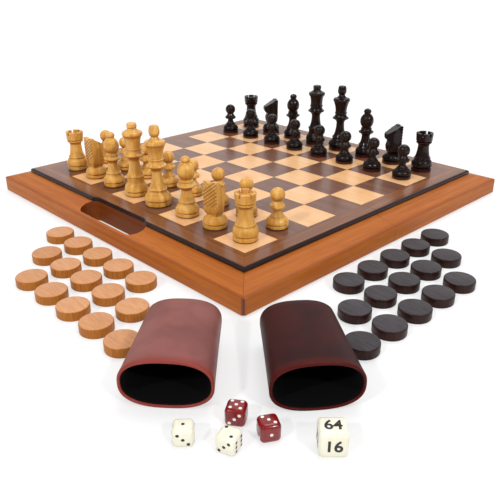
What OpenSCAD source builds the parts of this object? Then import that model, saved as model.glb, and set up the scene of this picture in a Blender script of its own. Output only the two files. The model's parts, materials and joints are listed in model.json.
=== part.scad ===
// Folding wooden games case, laid open with its chess side up and the chessmen set out.
// Origin: middle of the fold line, on the rim that meets the table. +Z is up, +X runs
// from the white half to the black half, and +Y runs along the hinge line.

/* [Chess side] */
// Side of one chess square
square = 38; // [37:0.5:40]
// Width of the mitred walnut border round the squares
border_w = 18.5; // [16:0.5:20]
// Thickness of the raised walnut panel
panel_t = 4.5; // [4:0.25:6]
// Thickness of the maple squares let into the panel
veneer_t = 1; // [0.8:0.1:1.4]
// Fine joint left round each maple square
veneer_joint = 0.1; // [0.06:0.02:0.2]
// Fine joint left in the border's mitres
mitre_joint = 0.05; // [0.02:0.01:0.1]

/* [Frame] */
// Height of the upright outer side
side_h = 14.5; // [12:0.5:18]
// Width of the sloping face between the outer side and the panel
bevel_w = 21.5; // [20:0.5:25]
// Height that the sloping face climbs
bevel_rise = 5.5; // [4:0.5:8]
// Width of the ledge under the panel's edge
ledge_w = 7.9; // [6:0.1:10]
// Width of each hinge rail
hinge_rail_w = 10.8; // [10:0.2:14]
// Gap between the two halves at the fold
seam_gap = 0.3; // [0.2:0.05:0.6]
// Thickness of the splines in the outer mitres
spline_t = 3; // [2:0.25:4]
// Length of the splines along the mitre
spline_len = 9; // [7:0.5:12]

/* [Handle slot] */
// Length of the slot
slot_len = 93; // [80:1:110]
// Width of the slot
slot_w = 21; // [18:0.5:22]
// Wood left between the slot and the outer side
slot_wall = 4.6; // [4:0.2:6]

/* [Inside] */
// Thickness of the backgammon floor under the panel
floor_t = 1.8; // [1.5:0.1:3]
// Thickness of the inlaid points
point_t = 0.7; // [0.5:0.1:1]
// Length of a point
point_len = 107; // [95:1:120]
// Width of a point at its base
point_w = 21.6; // [18:0.2:24]
// Thickness of the felt on the walls
felt_t = 1; // [0.6:0.1:1.5]
// Width of bare wood between the felt and the rim
felt_inset = 1.2; // [0.6:0.2:3]

/* [Hinges] */
// Distance of each hinge from the middle of the fold
hinge_y = 107; // [80:1:120]
// Length of a hinge
hinge_len = 45; // [40:1:60]
// Thickness of a hinge leaf
leaf_t = 1.2; // [1:0.1:1.5]
// Radius of the knuckles
knuckle_r = 1.5; // [1.4:0.05:1.8]
// Radius of the hinge pin
pin_r = 0.7; // [0.5:0.05:0.8]
// Running clearance round the pin
pin_fit = 0.08; // [0.04:0.01:0.1]
// Number of knuckles on a hinge
knuckles = 5; // [3:2:7]
// Length of a hinge screw
screw_len = 8; // [6:0.5:10]
// Radius of a magnet
magnet_r = 3; // [2.5:0.25:4]
// Thickness of a magnet
magnet_t = 2; // [1.5:0.25:3]
// Distance of the magnets from the middle of the end rail
magnet_y = 144; // [130:1:150]

/* [Chessmen] */
// Height of a king
king_h = 75.5; // [70:0.5:80]
// Base radius of a king
king_r = 12.8; // [12:0.2:14]
// Height of a queen
queen_h = 71; // [65:0.5:75]
// Base radius of a queen
queen_r = 11.4; // [11:0.2:13]
// Height of a bishop
bishop_h = 55; // [50:0.5:60]
// Base radius of a bishop
bishop_r = 11; // [10:0.2:12]
// Height of a knight
knight_h = 42.5; // [40:0.5:46]
// Base radius of a knight
knight_r = 11; // [10:0.2:12]
// Thickness of a knight's head
knight_w = 14.5; // [12:0.5:16]
// Height of a rook
rook_h = 41.5; // [38:0.5:46]
// Base radius of a rook
rook_r = 11; // [10:0.2:12]
// Height of a pawn
pawn_h = 36; // [33:0.5:40]
// Base radius of a pawn
pawn_r = 10; // [9:0.2:11]

/* [Draughts and dice] */
// Radius of a draughtsman
draught_r = 12.5; // [11:0.5:14]
// Thickness of a draughtsman
draught_t = 8; // [6:0.5:10]
// Space from one draughtsman to the next
draught_pitch = 32; // [29:1:36]
// Side of a die
die_side = 12; // [10:0.5:14]
// Side of the doubling cube
cube_side = 16; // [14:0.5:20]
// Long width of a dice cup's mouth
cup_w = 57; // [52:1:62]
// Short width of a dice cup's mouth
cup_d = 34; // [30:1:38]
// Length of a dice cup
cup_len = 74; // [65:1:85]
// Share of the mouth's width left at the cup's foot
cup_taper = 0.88; // [0.8:0.02:0.96]
// Thickness of the cup's leather wall
cup_wall = 2; // [1.5:0.25:3]
// Thickness of the cup's lining
lining_t = 0.8; // [0.5:0.1:1.2]

/* [Hidden] */
field_half = 4 * square;
panel_half = field_half + border_w;
board_half = panel_half + bevel_w;
inner_half = panel_half - ledge_w;
rail_w = bevel_w + ledge_w;
ledge_z = side_h + bevel_rise;
top_z = ledge_z + panel_t;
floor_z = ledge_z - floor_t;
fold_z = -seam_gap / 2;
table_z = fold_z - knuckle_r;
seam_x = seam_gap / 2;
bar_x = seam_x + hinge_rail_w;
tray_w = inner_half - bar_x;
point_pitch = tray_w / 6;
slot_x = board_half - slot_wall - slot_w / 2;
lap = 0.01;

// Play between the parts of a hinge
knuckle_gap = 0.2;
knuckle_pitch = hinge_len / knuckles;
relief = 0.4;
leaf_x = knuckle_r + relief;
screw_r = 0.9;
screw_head_r = 1.9;
screw_head_t = 1;
screw_x = (leaf_x + bar_x) / 2;

// How far the splines' outer edge is cut back across the corner
corner_cut = spline_t / 2;

// Clear strip of table between the board and the pieces beside it
kit_gap = 24;
kit_x = -board_half - kit_gap;
kit_y = -board_half - kit_gap;

// Where the draughtsmen's rows begin, and how far the rows stand apart
draughts_start = 0.9 * draught_pitch;
draughts_row = 0.95 * draught_pitch;

// Places of the cups and dice, from the near corner of the table strip
first_cup_at = [-1.37, -0.32] * cup_w;
second_cup_at = [-0.29, -1.42] * cup_w;
white_die_at = [[-1.54, -0.81] * cup_w, [-1.3, -1.19] * cup_w];
red_die_at = [[-0.98, -0.95] * cup_w, [-0.91, -1.33] * cup_w];
cube_at = [-0.6, -1.86] * cup_w;

// Turns of the cups' mouths and of the dice
first_cup_turn = 222;
second_cup_turn = 232;
white_die_turn = [48, 20];
red_die_turn = [35, 60];
cube_turn = 45;

// How far the white king, queen and bishop stand off their squares' middles, and how the
// near white knight and the black knights are turned
king_off = [-2.4, 2.3];
queen_off = [-1.4, 1.3];
bishop_off = [-1.7, 1.6];
near_knight_turn = 14;
black_knight_turn = -35;

// Points along a curve from a to c that leans towards b
function bend(a, b, c, n = 5) =
    [for (i = [0:n]) let (t = i / n) (1 - t) * (1 - t) * a + 2 * t * (1 - t) * b + t * t * c];

// Points along part of an ellipse
function oval(centre, rx, ry, from, to, n = 8) =
    [for (i = [0:n]) let (a = from + (to - from) * i / n) centre + [rx * cos(a), ry * sin(a)]];

// A rounded ring between two heights
function bead(r, low, high) =
    oval([r - (high - low) / 2, (low + high) / 2], (high - low) / 2, (high - low) / 2, -90, 90, 6);

// The foot that all chessmen share: a rim, a fine groove and the start of the body
function foot(r, rim) = concat(
    [[0, 0], [r - 0.7, 0]],
    [[r, 0.7], [r, rim - 0.6], [r - 0.6, rim], [r - 1.2, rim + 0.3], [r - 0.7, rim + 0.8]]);

// A turned profile brought to its named height and base radius
function sized(points, h, r) =
    let (full_h = max([for (p = points) p.y]), full_r = max([for (p = points) p.x]))
    [for (p = points) [p.x * r / full_r, p.y * h / full_h]];

king_profile = concat(
    foot(12.2, 4.8), bend([12.8, 6.4], [12.4, 9.6], [9, 12.4], 6), [[8.2, 14]], bead(8.9, 14.6, 16.4),
    bend([7.7, 16.8], [4.8, 21.4], [4.6, 32.8], 6), bend([5, 34], [6.4, 36.4], [9.3, 37.4], 3),
    [[9.6, 38], [9.4, 38.7]], bend([8.2, 39.2], [6.8, 40.4], [6.4, 42.8], 3), bead(7.3, 43.2, 45),
    bend([6.5, 45.4], [6.5, 50.6], [9, 57.2]), bend([9.8, 58.4], [10, 60.4], [8.8, 61.2], 3),
    bend([6.6, 61.6], [5, 62.4], [3.8, 64.2], 3), bend([3.4, 65], [3.5, 65.6], [4.4, 66.6], 3),
    bend([5, 68.2], [5.2, 71.4], [4.4, 74], 4), [[3.7, 75.2], [1.6, 75.5], [0, 75.5]]);

queen_profile = concat(
    foot(10.8, 4), bend([11.2, 5.4], [11, 9.4], [8.8, 12], 6), bend([8, 13.4], [7.9, 16], [8.1, 18], 3),
    bead(8.8, 18.4, 20.2), bend([7.6, 20.6], [5.2, 25], [5, 35], 6),
    bend([5.4, 36.2], [6.6, 38.8], [9.4, 39.8], 3), [[9.7, 40.5], [9.4, 41.2]],
    bend([8.2, 41.8], [7.1, 43.2], [6.9, 45.2], 3), bead(7.8, 45.6, 47.4),
    bend([7, 47.8], [6.9, 53.6], [7.9, 57.6]), bend([9.2, 59.2], [10.1, 61], [9.3, 62.4], 4),
    bend([8, 63], [6, 63.8], [4.4, 65.4], 3), bend([4.2, 66], [4.8, 66.6], [4.8, 68], 3),
    [[4.7, 69.6], [4, 70.8], [1.6, 71], [0, 71]]);

bishop_profile = concat(
    foot(10.7, 3.9), bend([11, 5.2], [10.8, 8.2], [8, 10.8], 6), [[7.3, 12.4]], bead(7.8, 12.9, 14.5),
    bend([6.8, 14.8], [4.9, 18], [4.7, 24.4], 6), bend([5, 25.2], [6, 27.2], [8.3, 28], 3),
    [[8.6, 28.7], [8.4, 29.4]], bend([7.2, 30], [6.1, 30.8], [5.8, 31.8], 3), bead(6.4, 32, 33.4),
    [[5.3, 33.8]], oval([0, 41.4], 7.7, 9, -46, 58, 10), [[3.6, 49.6]],
    oval([0, 52.2], 4.3, 3.3, -34, 66, 7), [[1.2, 55.5], [0, 55.5]]);

rook_profile = concat(
    foot(10.6, 4), bend([10.9, 5.6], [11.4, 10.8], [9, 12.2], 6), [[8.3, 13]], bead(8.9, 13.3, 14.9),
    bend([8, 15.2], [6.2, 20], [5.9, 28], 6), bend([6.2, 28.8], [6.7, 30], [7.4, 30.4], 3),
    bead(8.3, 30.6, 32.2), [[7.7, 32.6], [8.6, 33.4], [9.1, 40.9], [8.7, 41.5]],
    [[6.4, 41.5], [6.2, 37.8], [0, 37.4]]);

pawn_profile = concat(
    foot(9.8, 3.6), bend([10, 4.8], [9.8, 8], [7, 9.6], 5), [[6.2, 10.2], [6.3, 10.8]],
    bend([5.9, 11.4], [3.7, 12.6], [3.4, 16.2], 4), bend([3.7, 17], [5, 17.6], [6.6, 18.1], 3),
    [[6.9, 18.9], [6.8, 20]], bend([6.4, 20.8], [5, 21.4], [4.6, 22.8], 3),
    oval([0, 29.6], 6.4, 6.4, -54, 84, 11), [[0, 36]]);

knight_foot_profile = concat(
    foot(10.7, 3.7), bend([10.9, 5.2], [10.6, 8.8], [7.4, 11], 5), [[5.2, 12], [0, 12.4]]);

// Side view of the knight's head, from the back of its neck round to its chest
knight_outline = concat(
    [[-5.2, 11.2]], bend([-5.4, 13], [-7.2, 15.4], [-7.3, 20], 3),
    [[-7.3, 42], [-6.9, 42.5], [-3.6, 42.5]], bend([-3, 41.6], [-2.2, 40.8], [-1, 40.2], 3),
    [[7.4, 35], [8.6, 34.5]], bend([9.7, 33.4], [10, 31], [9.6, 29], 4),
    [[8.6, 27.2], [7, 26.4]], bend([6, 25.6], [5.9, 24.2], [6.3, 22.8], 4),
    bend([7.4, 20], [7.2, 15], [4.8, 11.2], 5));

// Mirrors half B's shape to half A
module half(side) {
    mirror([side < 0 ? 1 : 0, 0, 0]) children();
}

module turned(points, h, r) {
    rotate_extrude($fn = 96) polygon(sized(points, h, r));
}

module stadium(len, w, h) {
    for (end = [-1, 1]) translate([0, end * (len - w) / 2, 0]) cylinder(r = w / 2, h = h, $fn = 64);
    translate([-w / 2, -(len - w) / 2, 0]) cube([w, len - w, h]);
}

// Section of a frame rail; x runs inwards from the outer side
module rail_section() {
    polygon([[0, 0], [0, side_h - 0.8], [0.25, side_h - 0.25], [0.8, side_h],
        [bevel_w, ledge_z], [rail_w, ledge_z], [rail_w, 0]]);
}

// A rail along +Y with its outer side at x = board_half, longer than it needs to be
module rail_bar() {
    translate([board_half, board_half, 0]) rotate([90, 0, 0]) mirror([1, 0, 0])
        linear_extrude(2 * board_half) rail_section();
}

// Plan of the end rail and of one long side's rail, with their mitres
module end_plan() {
    polygon([[board_half, -board_half], [board_half, board_half],
        [inner_half, inner_half], [inner_half, -inner_half]]);
}

module long_plan() {
    polygon([[seam_x, board_half], [board_half, board_half], [inner_half, inner_half],
        [seam_x, inner_half]]);
}

// A spline standing in the outer corner, across the mitre
module spline(end) {
    translate([board_half, end * board_half, 0]) rotate([0, 0, end > 0 ? 45 : -45])
        translate([-spline_len - corner_cut, -spline_t / 2, 0])
            cube([spline_len, spline_t, side_h - 0.8]);
}

// The small flat across the outer corner, level with the splines
module corner_trim(end) {
    translate([board_half, end * board_half, -lap]) rotate([0, 0, end > 0 ? 45 : -45])
        translate([-corner_cut, -board_half / 4, 0])
            cube([spline_len, board_half / 2, top_z]);
}

module handle_cut() {
    translate([slot_x, 0, -1]) stadium(slot_len, slot_w, top_z + 2);
}

module end_rail(side) {
    color("peru") half(side) difference() {
        intersection() {
            rail_bar();
            linear_extrude(top_z) end_plan();
        }
        handle_cut();
        for (end = [-1, 1]) {
            spline(end);
            corner_trim(end);
            translate([slot_x, end * magnet_y, -lap])
                cylinder(r = magnet_r, h = magnet_t + lap, $fn = 48);
        }
    }
}

// The rail along the front (end = -1) or the back (end = 1) of a half
module long_rail(side, end) {
    color("peru") half(side) mirror([0, end < 0 ? 1 : 0, 0]) difference() {
        intersection() {
            translate([board_half, 0, 0]) rotate([0, 0, 90]) rail_bar();
            linear_extrude(top_z) long_plan();
        }
        spline(1);
        corner_trim(1);
    }
}

// Room for a whole hinge: its leaf and its knuckles
module hinge_room() {
    reach = knuckle_r + relief;
    translate([-1, -hinge_len / 2, -1]) cube([bar_x + 1 + lap, hinge_len, leaf_t + 1]);
    translate([-1, -hinge_len / 2, -1]) cube([reach + 1, hinge_len, fold_z + reach + 1]);
}

module screw_places() {
    for (end = [-1, 1]) for (row = [-1:1])
        translate([screw_x, end * hinge_y + row * hinge_len * 0.34, 0]) children();
}

module hinge_rail(side) {
    color("peru") half(side) difference() {
        translate([seam_x, -inner_half, 0]) cube([hinge_rail_w, 2 * inner_half, ledge_z]);
        for (end = [-1, 1]) translate([0, end * hinge_y, 0]) hinge_room();
        screw_places() cylinder(r = screw_r, h = screw_len, $fn = 24);
    }
}

module corner_keys(side) {
    color("saddlebrown") half(side) for (end = [-1, 1]) spline(end);
}

// True where a square of half B's grid is light on the half that is drawn
function is_light(side, column, rank) = (side > 0 ? rank + column : rank + column + 1) % 2 == 0;

module light_tiles(side, t) {
    tile = square - veneer_joint;
    for (rank = [0:3]) for (column = [0:7]) if (is_light(side, column, rank)) {
        low = rank == 0 ? seam_x + veneer_joint / 2 : rank * square + veneer_joint / 2;
        translate([low, (column - 4) * square + veneer_joint / 2, top_z - veneer_t])
            cube([rank * square + square - veneer_joint / 2 - low, tile, t]);
    }
}

module panel(side) {
    color("rosybrown") half(side) difference() {
        translate([seam_x, -field_half, ledge_z])
            cube([field_half - seam_x, 2 * field_half, panel_t]);
        light_tiles(side, veneer_t + 1);
    }
}

module light_squares(side) {
    color("navajowhite") half(side) light_tiles(side, veneer_t);
}

// Moulded section of the border; x runs inwards from the panel's outer edge
module border_section() {
    polygon(concat([[border_w, 0], [0.5, 0], [0, 0.5]],
        bend([0, panel_t * 0.5], [0.2, panel_t * 0.92], [1.5, panel_t * 0.93], 4),
        [[1.8, panel_t], [border_w, panel_t]]));
}

module border_bar() {
    translate([panel_half, panel_half, ledge_z]) rotate([90, 0, 0]) mirror([1, 0, 0])
        linear_extrude(2 * panel_half) border_section();
}

module panel_border(side) {
    cut = mitre_joint;
    color("sienna") half(side) {
        difference() {
            intersection() {
                border_bar();
                linear_extrude(top_z) polygon([[panel_half, cut - panel_half],
                    [panel_half, panel_half - cut], [field_half, field_half - cut],
                    [field_half, cut - field_half]]);
            }
            handle_cut();
        }
        for (end = [-1, 1]) mirror([0, end < 0 ? 1 : 0, 0]) intersection() {
            translate([panel_half, 0, 0]) rotate([0, 0, 90]) border_bar();
            linear_extrude(top_z) polygon([[seam_x, panel_half], [panel_half, panel_half],
                [field_half, field_half], [seam_x, field_half]]);
        }
    }
}

// Points of one colour: they alternate along each wall and from wall to wall
module points(odd, t) {
    for (end = [-1, 1]) for (place = [0:5]) if ((place + (end > 0 ? 1 : 0)) % 2 == odd) {
        mid = bar_x + (place + 0.5) * point_pitch;
        translate([0, 0, floor_z]) linear_extrude(t) polygon([
            [mid - point_w / 2, end * inner_half], [mid + point_w / 2, end * inner_half],
            [mid, end * (inner_half - point_len)]]);
    }
}

module play_floor(side) {
    color("gray") half(side) difference() {
        translate([bar_x, -inner_half, floor_z]) cube([tray_w, 2 * inner_half, floor_t]);
        translate([0, 0, -1]) {
            points(0, point_t + 1);
            points(1, point_t + 1);
        }
    }
}

// Cream points lie at even places on the black half's front wall, and at odd places on
// the white half's, so that the colours go on alternating across the bar
module cream_points(side) {
    color("cornsilk") half(side) points(side > 0 ? 0 : 1, point_t);
}

module red_points(side) {
    color("indianred") half(side) points(side > 0 ? 1 : 0, point_t);
}

module felt_lining(side) {
    high = floor_z - felt_inset;
    butt = felt_t + mitre_joint;
    color("darkolivegreen") half(side) translate([0, 0, felt_inset]) {
        translate([inner_half - felt_t, -inner_half, 0]) cube([felt_t, 2 * inner_half, high]);
        translate([bar_x, -inner_half, 0]) cube([felt_t, 2 * inner_half, high]);
        for (end = [-1, 1])
            translate([bar_x + butt, end * (inner_half - felt_t / 2) - felt_t / 2, 0])
                cube([tray_w - 2 * butt, felt_t, high]);
    }
}

// Knuckles belong to the white half at even places and to the black half at odd ones
module knuckle(place) {
    translate([0, -hinge_len / 2 + place * knuckle_pitch + knuckle_gap / 2, fold_z])
        rotate([-90, 0, 0]) cylinder(r = knuckle_r, h = knuckle_pitch - knuckle_gap, $fn = 48);
}

module hinge_leaf(own) {
    edge = 0.2;
    difference() {
        union() {
            translate([leaf_x, -hinge_len / 2 + edge, 0])
                cube([bar_x - leaf_x - edge, hinge_len - 2 * edge, leaf_t]);
            for (place = [0:knuckles - 1]) if (place % 2 == own) {
                knuckle(place);
                translate([0, -hinge_len / 2 + place * knuckle_pitch + knuckle_gap / 2, 0])
                    cube([leaf_x + edge, knuckle_pitch - knuckle_gap, leaf_t]);
            }
        }
        translate([0, -hinge_len, fold_z]) rotate([-90, 0, 0])
            cylinder(r = pin_r + pin_fit, h = 2 * hinge_len, $fn = 48);
    }
}

module hinge_leaves(side) {
    color("darkkhaki") half(side) difference() {
        for (end = [-1, 1]) translate([0, end * hinge_y, 0]) hinge_leaf(side > 0 ? 1 : 0);
        screw_places() screw();
    }
}

module screw() {
    cylinder(r1 = screw_head_r, r2 = screw_r, h = screw_head_t, $fn = 48);
    cylinder(r = screw_r, h = screw_len, $fn = 24);
}

module hinge_screws(side) {
    color("goldenrod") half(side) screw_places() screw();
}

module hinge_pins() {
    color("silver") for (end = [-1, 1]) translate([0, end * hinge_y - hinge_len / 2, fold_z])
        rotate([-90, 0, 0]) cylinder(r = pin_r, h = hinge_len, $fn = 48);
}

module magnets(side) {
    color("silver") half(side) for (end = [-1, 1]) translate([slot_x, end * magnet_y, 0])
        cylinder(r = magnet_r, h = magnet_t, $fn = 48);
}

// Puts a chessman on its square: files a to h are 0 to 7, the white back rank is 0.
// A man set down by hand stands a little off the middle, or turned
module on_square(file, rank, off = [0, 0], turn = 0) {
    translate([(rank - 3.5) * square + off.x, (3.5 - file) * square + off.y, top_z])
        rotate([0, 0, turn]) children();
}

module king() {
    turned(king_profile, king_h, king_r);
}

module queen() {
    turned(queen_profile, queen_h, queen_r);
}

module bishop() {
    turned(bishop_profile, bishop_h, bishop_r);
}

module rook() {
    notch_w = rook_r * 0.19;
    difference() {
        turned(rook_profile, rook_h, rook_r);
        for (i = [0:2]) rotate([0, 0, i * 60 + 15])
            translate([-rook_r, -notch_w / 2, rook_h * 0.92]) cube([2 * rook_r, notch_w, rook_h]);
    }
}

module pawn() {
    turned(pawn_profile, pawn_h, pawn_r);
}

// Crossed cuts of the mane, in the back of the neck
module mane_cuts(deep, high) {
    cut_w = 0.7;
    cut_d = 0.6;
    pitch = 3.2;
    for (lean = [-38, 38]) for (i = [-3:3])
        translate([-7.3 * deep - 1 + cut_d, 0, (29 + i * pitch) * high]) rotate([lean, 0, 0])
            translate([0, -knight_w, -cut_w / 2]) cube([1, 2 * knight_w, cut_w]);
}

// Front view of the head: it narrows to the neck's foot and has two ears
module knight_front(high) {
    half_w = knight_w / 2;
    right = [for (p = [[0.6, 10.8], [0.7, 13], [0.94, 16.4], [1, 20], [1, 36], [0.9, 42.5],
        [0.34, 42.5]]) [p.x * half_w, p.y * high]];
    left = [for (i = [len(right) - 1:-1:0]) [-right[i].x, right[i].y]];
    rotate([90, 0, 90]) translate([0, 0, -knight_r]) linear_extrude(2 * knight_r)
        polygon(concat(right, [[0, 40.6 * high]], left));
}

// Plan of the head: broad at the neck and narrower at the nose
module knight_plan(deep) {
    half_w = knight_w / 2;
    linear_extrude(knight_h) polygon([
        [-7.4 * deep, -half_w * 0.88], [-6.2 * deep, -half_w], [0, -half_w],
        [10.2 * deep, -half_w * 0.56], [10.2 * deep, half_w * 0.56],
        [0, half_w], [-6.2 * deep, half_w], [-7.4 * deep, half_w * 0.88]]);
}

// The head is sawn from the side, then from the front and from above; facing is +1 or -1
module knight(facing) {
    high = knight_h / 42.5;
    deep = knight_r / 10.9;
    mirror([facing < 0 ? 1 : 0, 0, 0]) {
        turned(knight_foot_profile, knight_h * 12.4 / 42.5, knight_r);
        difference() {
            intersection() {
                translate([0, knight_w, 0]) rotate([90, 0, 0]) linear_extrude(2 * knight_w)
                    polygon([for (p = knight_outline) [p.x * deep, p.y * high]]);
                knight_front(high);
                knight_plan(deep);
            }
            mane_cuts(deep, high);
            for (cheek = [-1, 1]) {
                translate([2.4 * deep, cheek * knight_w * 0.43, 37 * high]) rotate([90, 0, 0])
                    translate([0, 0, -0.8]) cylinder(r = 1, h = 1.6, $fn = 24);
                translate([6.8 * deep, cheek * knight_w * 0.36 - 1, 29.4 * high])
                    rotate([0, -12, 0]) cube([knight_r, 2, 0.9]);
            }
        }
    }
}

white_wood = "burlywood";
black_wood = [0.13, 0.08, 0.07];

module pawns(rank) {
    for (file = [0:7]) on_square(file, rank) pawn();
}

// A plain wooden draughtsman with eased edges
module draughtsman() {
    ease = 1.1;
    rotate_extrude($fn = 72) polygon(concat(
        [[0, 0]], oval([draught_r - ease, ease], ease, ease, -90, 0, 4),
        oval([draught_r - ease, draught_t - ease], ease, ease, 0, 90, 4), [[0, draught_t]]));
}

// Three slanting rows of five, beside the white half or in front of the board
module draughtsmen_rows() {
    for (row = [0:2]) for (place = [0:4])
        translate([-row * draughts_row, -(place + row) * draught_pitch, 0]) draughtsman();
}

module ellipse_disc(w, d, h) {
    linear_extrude(h) resize([w, d]) circle(r = w / 2, $fn = 56);
}

// Outside of an oval cup with its mouth at z = 0 and its foot at z = len
module cup_body(w, d, len, taper) {
    hull() {
        ellipse_disc(w, d, 0.5);
        translate([0, 0, len - 2.5]) ellipse_disc(w * taper, d * taper, 0.5);
        translate([0, 0, len - 0.5]) ellipse_disc(w * taper - 4, d * taper - 4, 0.5);
    }
}

module cup_hollow(extra) {
    wall = 2 * (cup_wall + extra);
    depth = cup_len - cup_wall - extra;
    translate([0, 0, -1]) cup_body(cup_w - wall, cup_d - wall, depth + 1, cup_taper);
}

// Lays a cup on its flat side, mouth towards the turn angle
module lay_cup(place, turn) {
    lean = atan(cup_d * (1 - cup_taper) / 2 / cup_len);
    translate(concat(place, [table_z])) rotate([0, 0, turn]) translate([0, 0, cup_d / 2 * cos(lean)])
        rotate([0, lean, 0]) rotate([0, -90, 0]) rotate([0, 0, 90]) children();
}

module cup_shell() {
    difference() {
        cup_body(cup_w, cup_d, cup_len, cup_taper);
        cup_hollow(0);
    }
}

module cup_lining_shell() {
    difference() {
        intersection() {
            cup_hollow(0);
            translate([-cup_w, -cup_w, 0]) cube([2 * cup_w, 2 * cup_w, cup_len]);
        }
        cup_hollow(lining_t);
    }
}

module first_cup_place() {
    lay_cup([kit_x, kit_y] + first_cup_at, first_cup_turn) children();
}

module second_cup_place() {
    lay_cup([kit_x, kit_y] + second_cup_at, second_cup_turn) children();
}

// Numbers of pips on the faces +Z, -Z, +X, -X, +Y, -Y
pip_faces = [[6, [0, 0, 0]], [1, [180, 0, 0]], [4, [0, 90, 0]], [3, [0, -90, 0]],
    [2, [-90, 0, 0]], [5, [90, 0, 0]]];

// Places of the pips on a face, in steps of the pip spacing
function pips(n) = concat(
    n % 2 == 1 ? [[0, 0]] : [],
    n > 1 ? [[1, 1], [-1, -1]] : [],
    n > 3 ? [[1, -1], [-1, 1]] : [],
    n == 6 ? [[1, 0], [-1, 0]] : []);

module rounded_block(side) {
    intersection() {
        translate([-side / 2, -side / 2, 0]) cube(side);
        translate([0, 0, side / 2]) sphere(r = side * 0.715, $fn = 72);
    }
}

module die() {
    difference() {
        rounded_block(die_side);
        for (f = pip_faces) translate([0, 0, die_side / 2]) rotate(f[1])
            for (p = pips(f[0])) translate([p.x * die_side * 0.24, p.y * die_side * 0.24,
                die_side / 2 + 0.7]) sphere(r = 1.3, $fn = 24);
    }
}

module on_table(place, turn) {
    translate([kit_x + place.x, kit_y + place.y, table_z]) rotate([0, 0, turn]) children();
}

end_rail(-1);  // end_rail_a
end_rail(1);  // end_rail_b
long_rail(-1, -1);  // front_rail_a
long_rail(1, -1);  // front_rail_b
long_rail(-1, 1);  // back_rail_a
long_rail(1, 1);  // back_rail_b
hinge_rail(-1);  // hinge_rail_a
hinge_rail(1);  // hinge_rail_b
corner_keys(-1);  // corner_keys_a
corner_keys(1);  // corner_keys_b
panel(-1);  // panel_a
panel(1);  // panel_b
panel_border(-1);  // panel_border_a
panel_border(1);  // panel_border_b
light_squares(-1);  // light_squares_a
light_squares(1);  // light_squares_b
play_floor(-1);  // play_floor_a
play_floor(1);  // play_floor_b
cream_points(-1);  // cream_points_a
cream_points(1);  // cream_points_b
red_points(-1);  // red_points_a
red_points(1);  // red_points_b
felt_lining(-1);  // felt_lining_a
felt_lining(1);  // felt_lining_b
hinge_leaves(-1);  // hinge_leaves_a
hinge_leaves(1);  // hinge_leaves_b
hinge_screws(-1);  // hinge_screws_a
hinge_screws(1);  // hinge_screws_b
hinge_pins();
magnets(-1);  // magnets_a
magnets(1);  // magnets_b

on_square(4, 0, king_off) color(white_wood) king();  // white_king
on_square(3, 0, queen_off) color(white_wood) queen();  // white_queen
on_square(2, 0, bishop_off) color(white_wood) bishop();  // white_bishop_1
on_square(5, 0) color(white_wood) bishop();  // white_bishop_2
on_square(1, 0) color(white_wood) knight(1);  // white_knight_1
on_square(6, 0, turn = near_knight_turn) color(white_wood) knight(1);  // white_knight_2
on_square(0, 0) color(white_wood) rook();  // white_rook_1
on_square(7, 0) color(white_wood) rook();  // white_rook_2
color(white_wood) pawns(1);  // white_pawns
on_square(4, 7) color(black_wood) king();  // black_king
on_square(3, 7) color(black_wood) queen();  // black_queen
on_square(2, 7) color(black_wood) bishop();  // black_bishop_1
on_square(5, 7) color(black_wood) bishop();  // black_bishop_2
on_square(1, 7, turn = black_knight_turn) color(black_wood) knight(-1);  // black_knight_1
on_square(6, 7, turn = black_knight_turn) color(black_wood) knight(-1);  // black_knight_2
on_square(0, 7) color(black_wood) rook();  // black_rook_1
on_square(7, 7) color(black_wood) rook();  // black_rook_2
color(black_wood) pawns(6);  // black_pawns

color("darkred") first_cup_place() cup_shell();  // dice_cup_1
color("darkred") second_cup_place() cup_shell();  // dice_cup_2
color([0.1, 0.1, 0.12]) first_cup_place() cup_lining_shell();  // cup_lining_1
color([0.1, 0.1, 0.12]) second_cup_place() cup_lining_shell();  // cup_lining_2
color("ivory") on_table(white_die_at[0], white_die_turn[0]) die();  // white_die_1
color("ivory") on_table(white_die_at[1], white_die_turn[1]) die();  // white_die_2
color("firebrick") on_table(red_die_at[0], red_die_turn[0]) die();  // red_die_1
color("firebrick") on_table(red_die_at[1], red_die_turn[1]) die();  // red_die_2
color("ivory") on_table(cube_at, cube_turn) rounded_block(cube_side);  // doubling_cube
color("peru") on_table([0, draughts_start - kit_y], 0) draughtsmen_rows();  // light_draughtsmen
color([0.2, 0.13, 0.1]) on_table([draughts_start - kit_x, 0], 0)  // dark_draughtsmen
        mirror([1, -1, 0]) draughtsmen_rows();
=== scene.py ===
import json
import math

import bmesh
import bpy
from mathutils import Euler, Matrix, Vector


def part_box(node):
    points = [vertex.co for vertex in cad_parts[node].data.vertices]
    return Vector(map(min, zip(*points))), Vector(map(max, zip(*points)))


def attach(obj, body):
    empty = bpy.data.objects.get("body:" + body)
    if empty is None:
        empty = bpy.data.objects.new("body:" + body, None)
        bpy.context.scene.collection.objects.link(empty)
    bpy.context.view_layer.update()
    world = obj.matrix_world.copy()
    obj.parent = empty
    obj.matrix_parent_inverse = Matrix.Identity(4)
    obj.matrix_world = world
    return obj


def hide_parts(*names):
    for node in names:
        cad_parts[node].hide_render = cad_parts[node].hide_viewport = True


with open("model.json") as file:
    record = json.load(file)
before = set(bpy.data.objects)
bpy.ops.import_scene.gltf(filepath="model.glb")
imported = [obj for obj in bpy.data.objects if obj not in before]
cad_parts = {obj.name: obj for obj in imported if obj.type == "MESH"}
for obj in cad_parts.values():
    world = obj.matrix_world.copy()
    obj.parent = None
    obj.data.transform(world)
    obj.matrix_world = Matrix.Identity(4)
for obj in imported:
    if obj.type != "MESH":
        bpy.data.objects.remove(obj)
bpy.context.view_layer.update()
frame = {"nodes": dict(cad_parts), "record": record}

MM = 0.001
WHITE = (1, 1, 1, 1)

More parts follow.
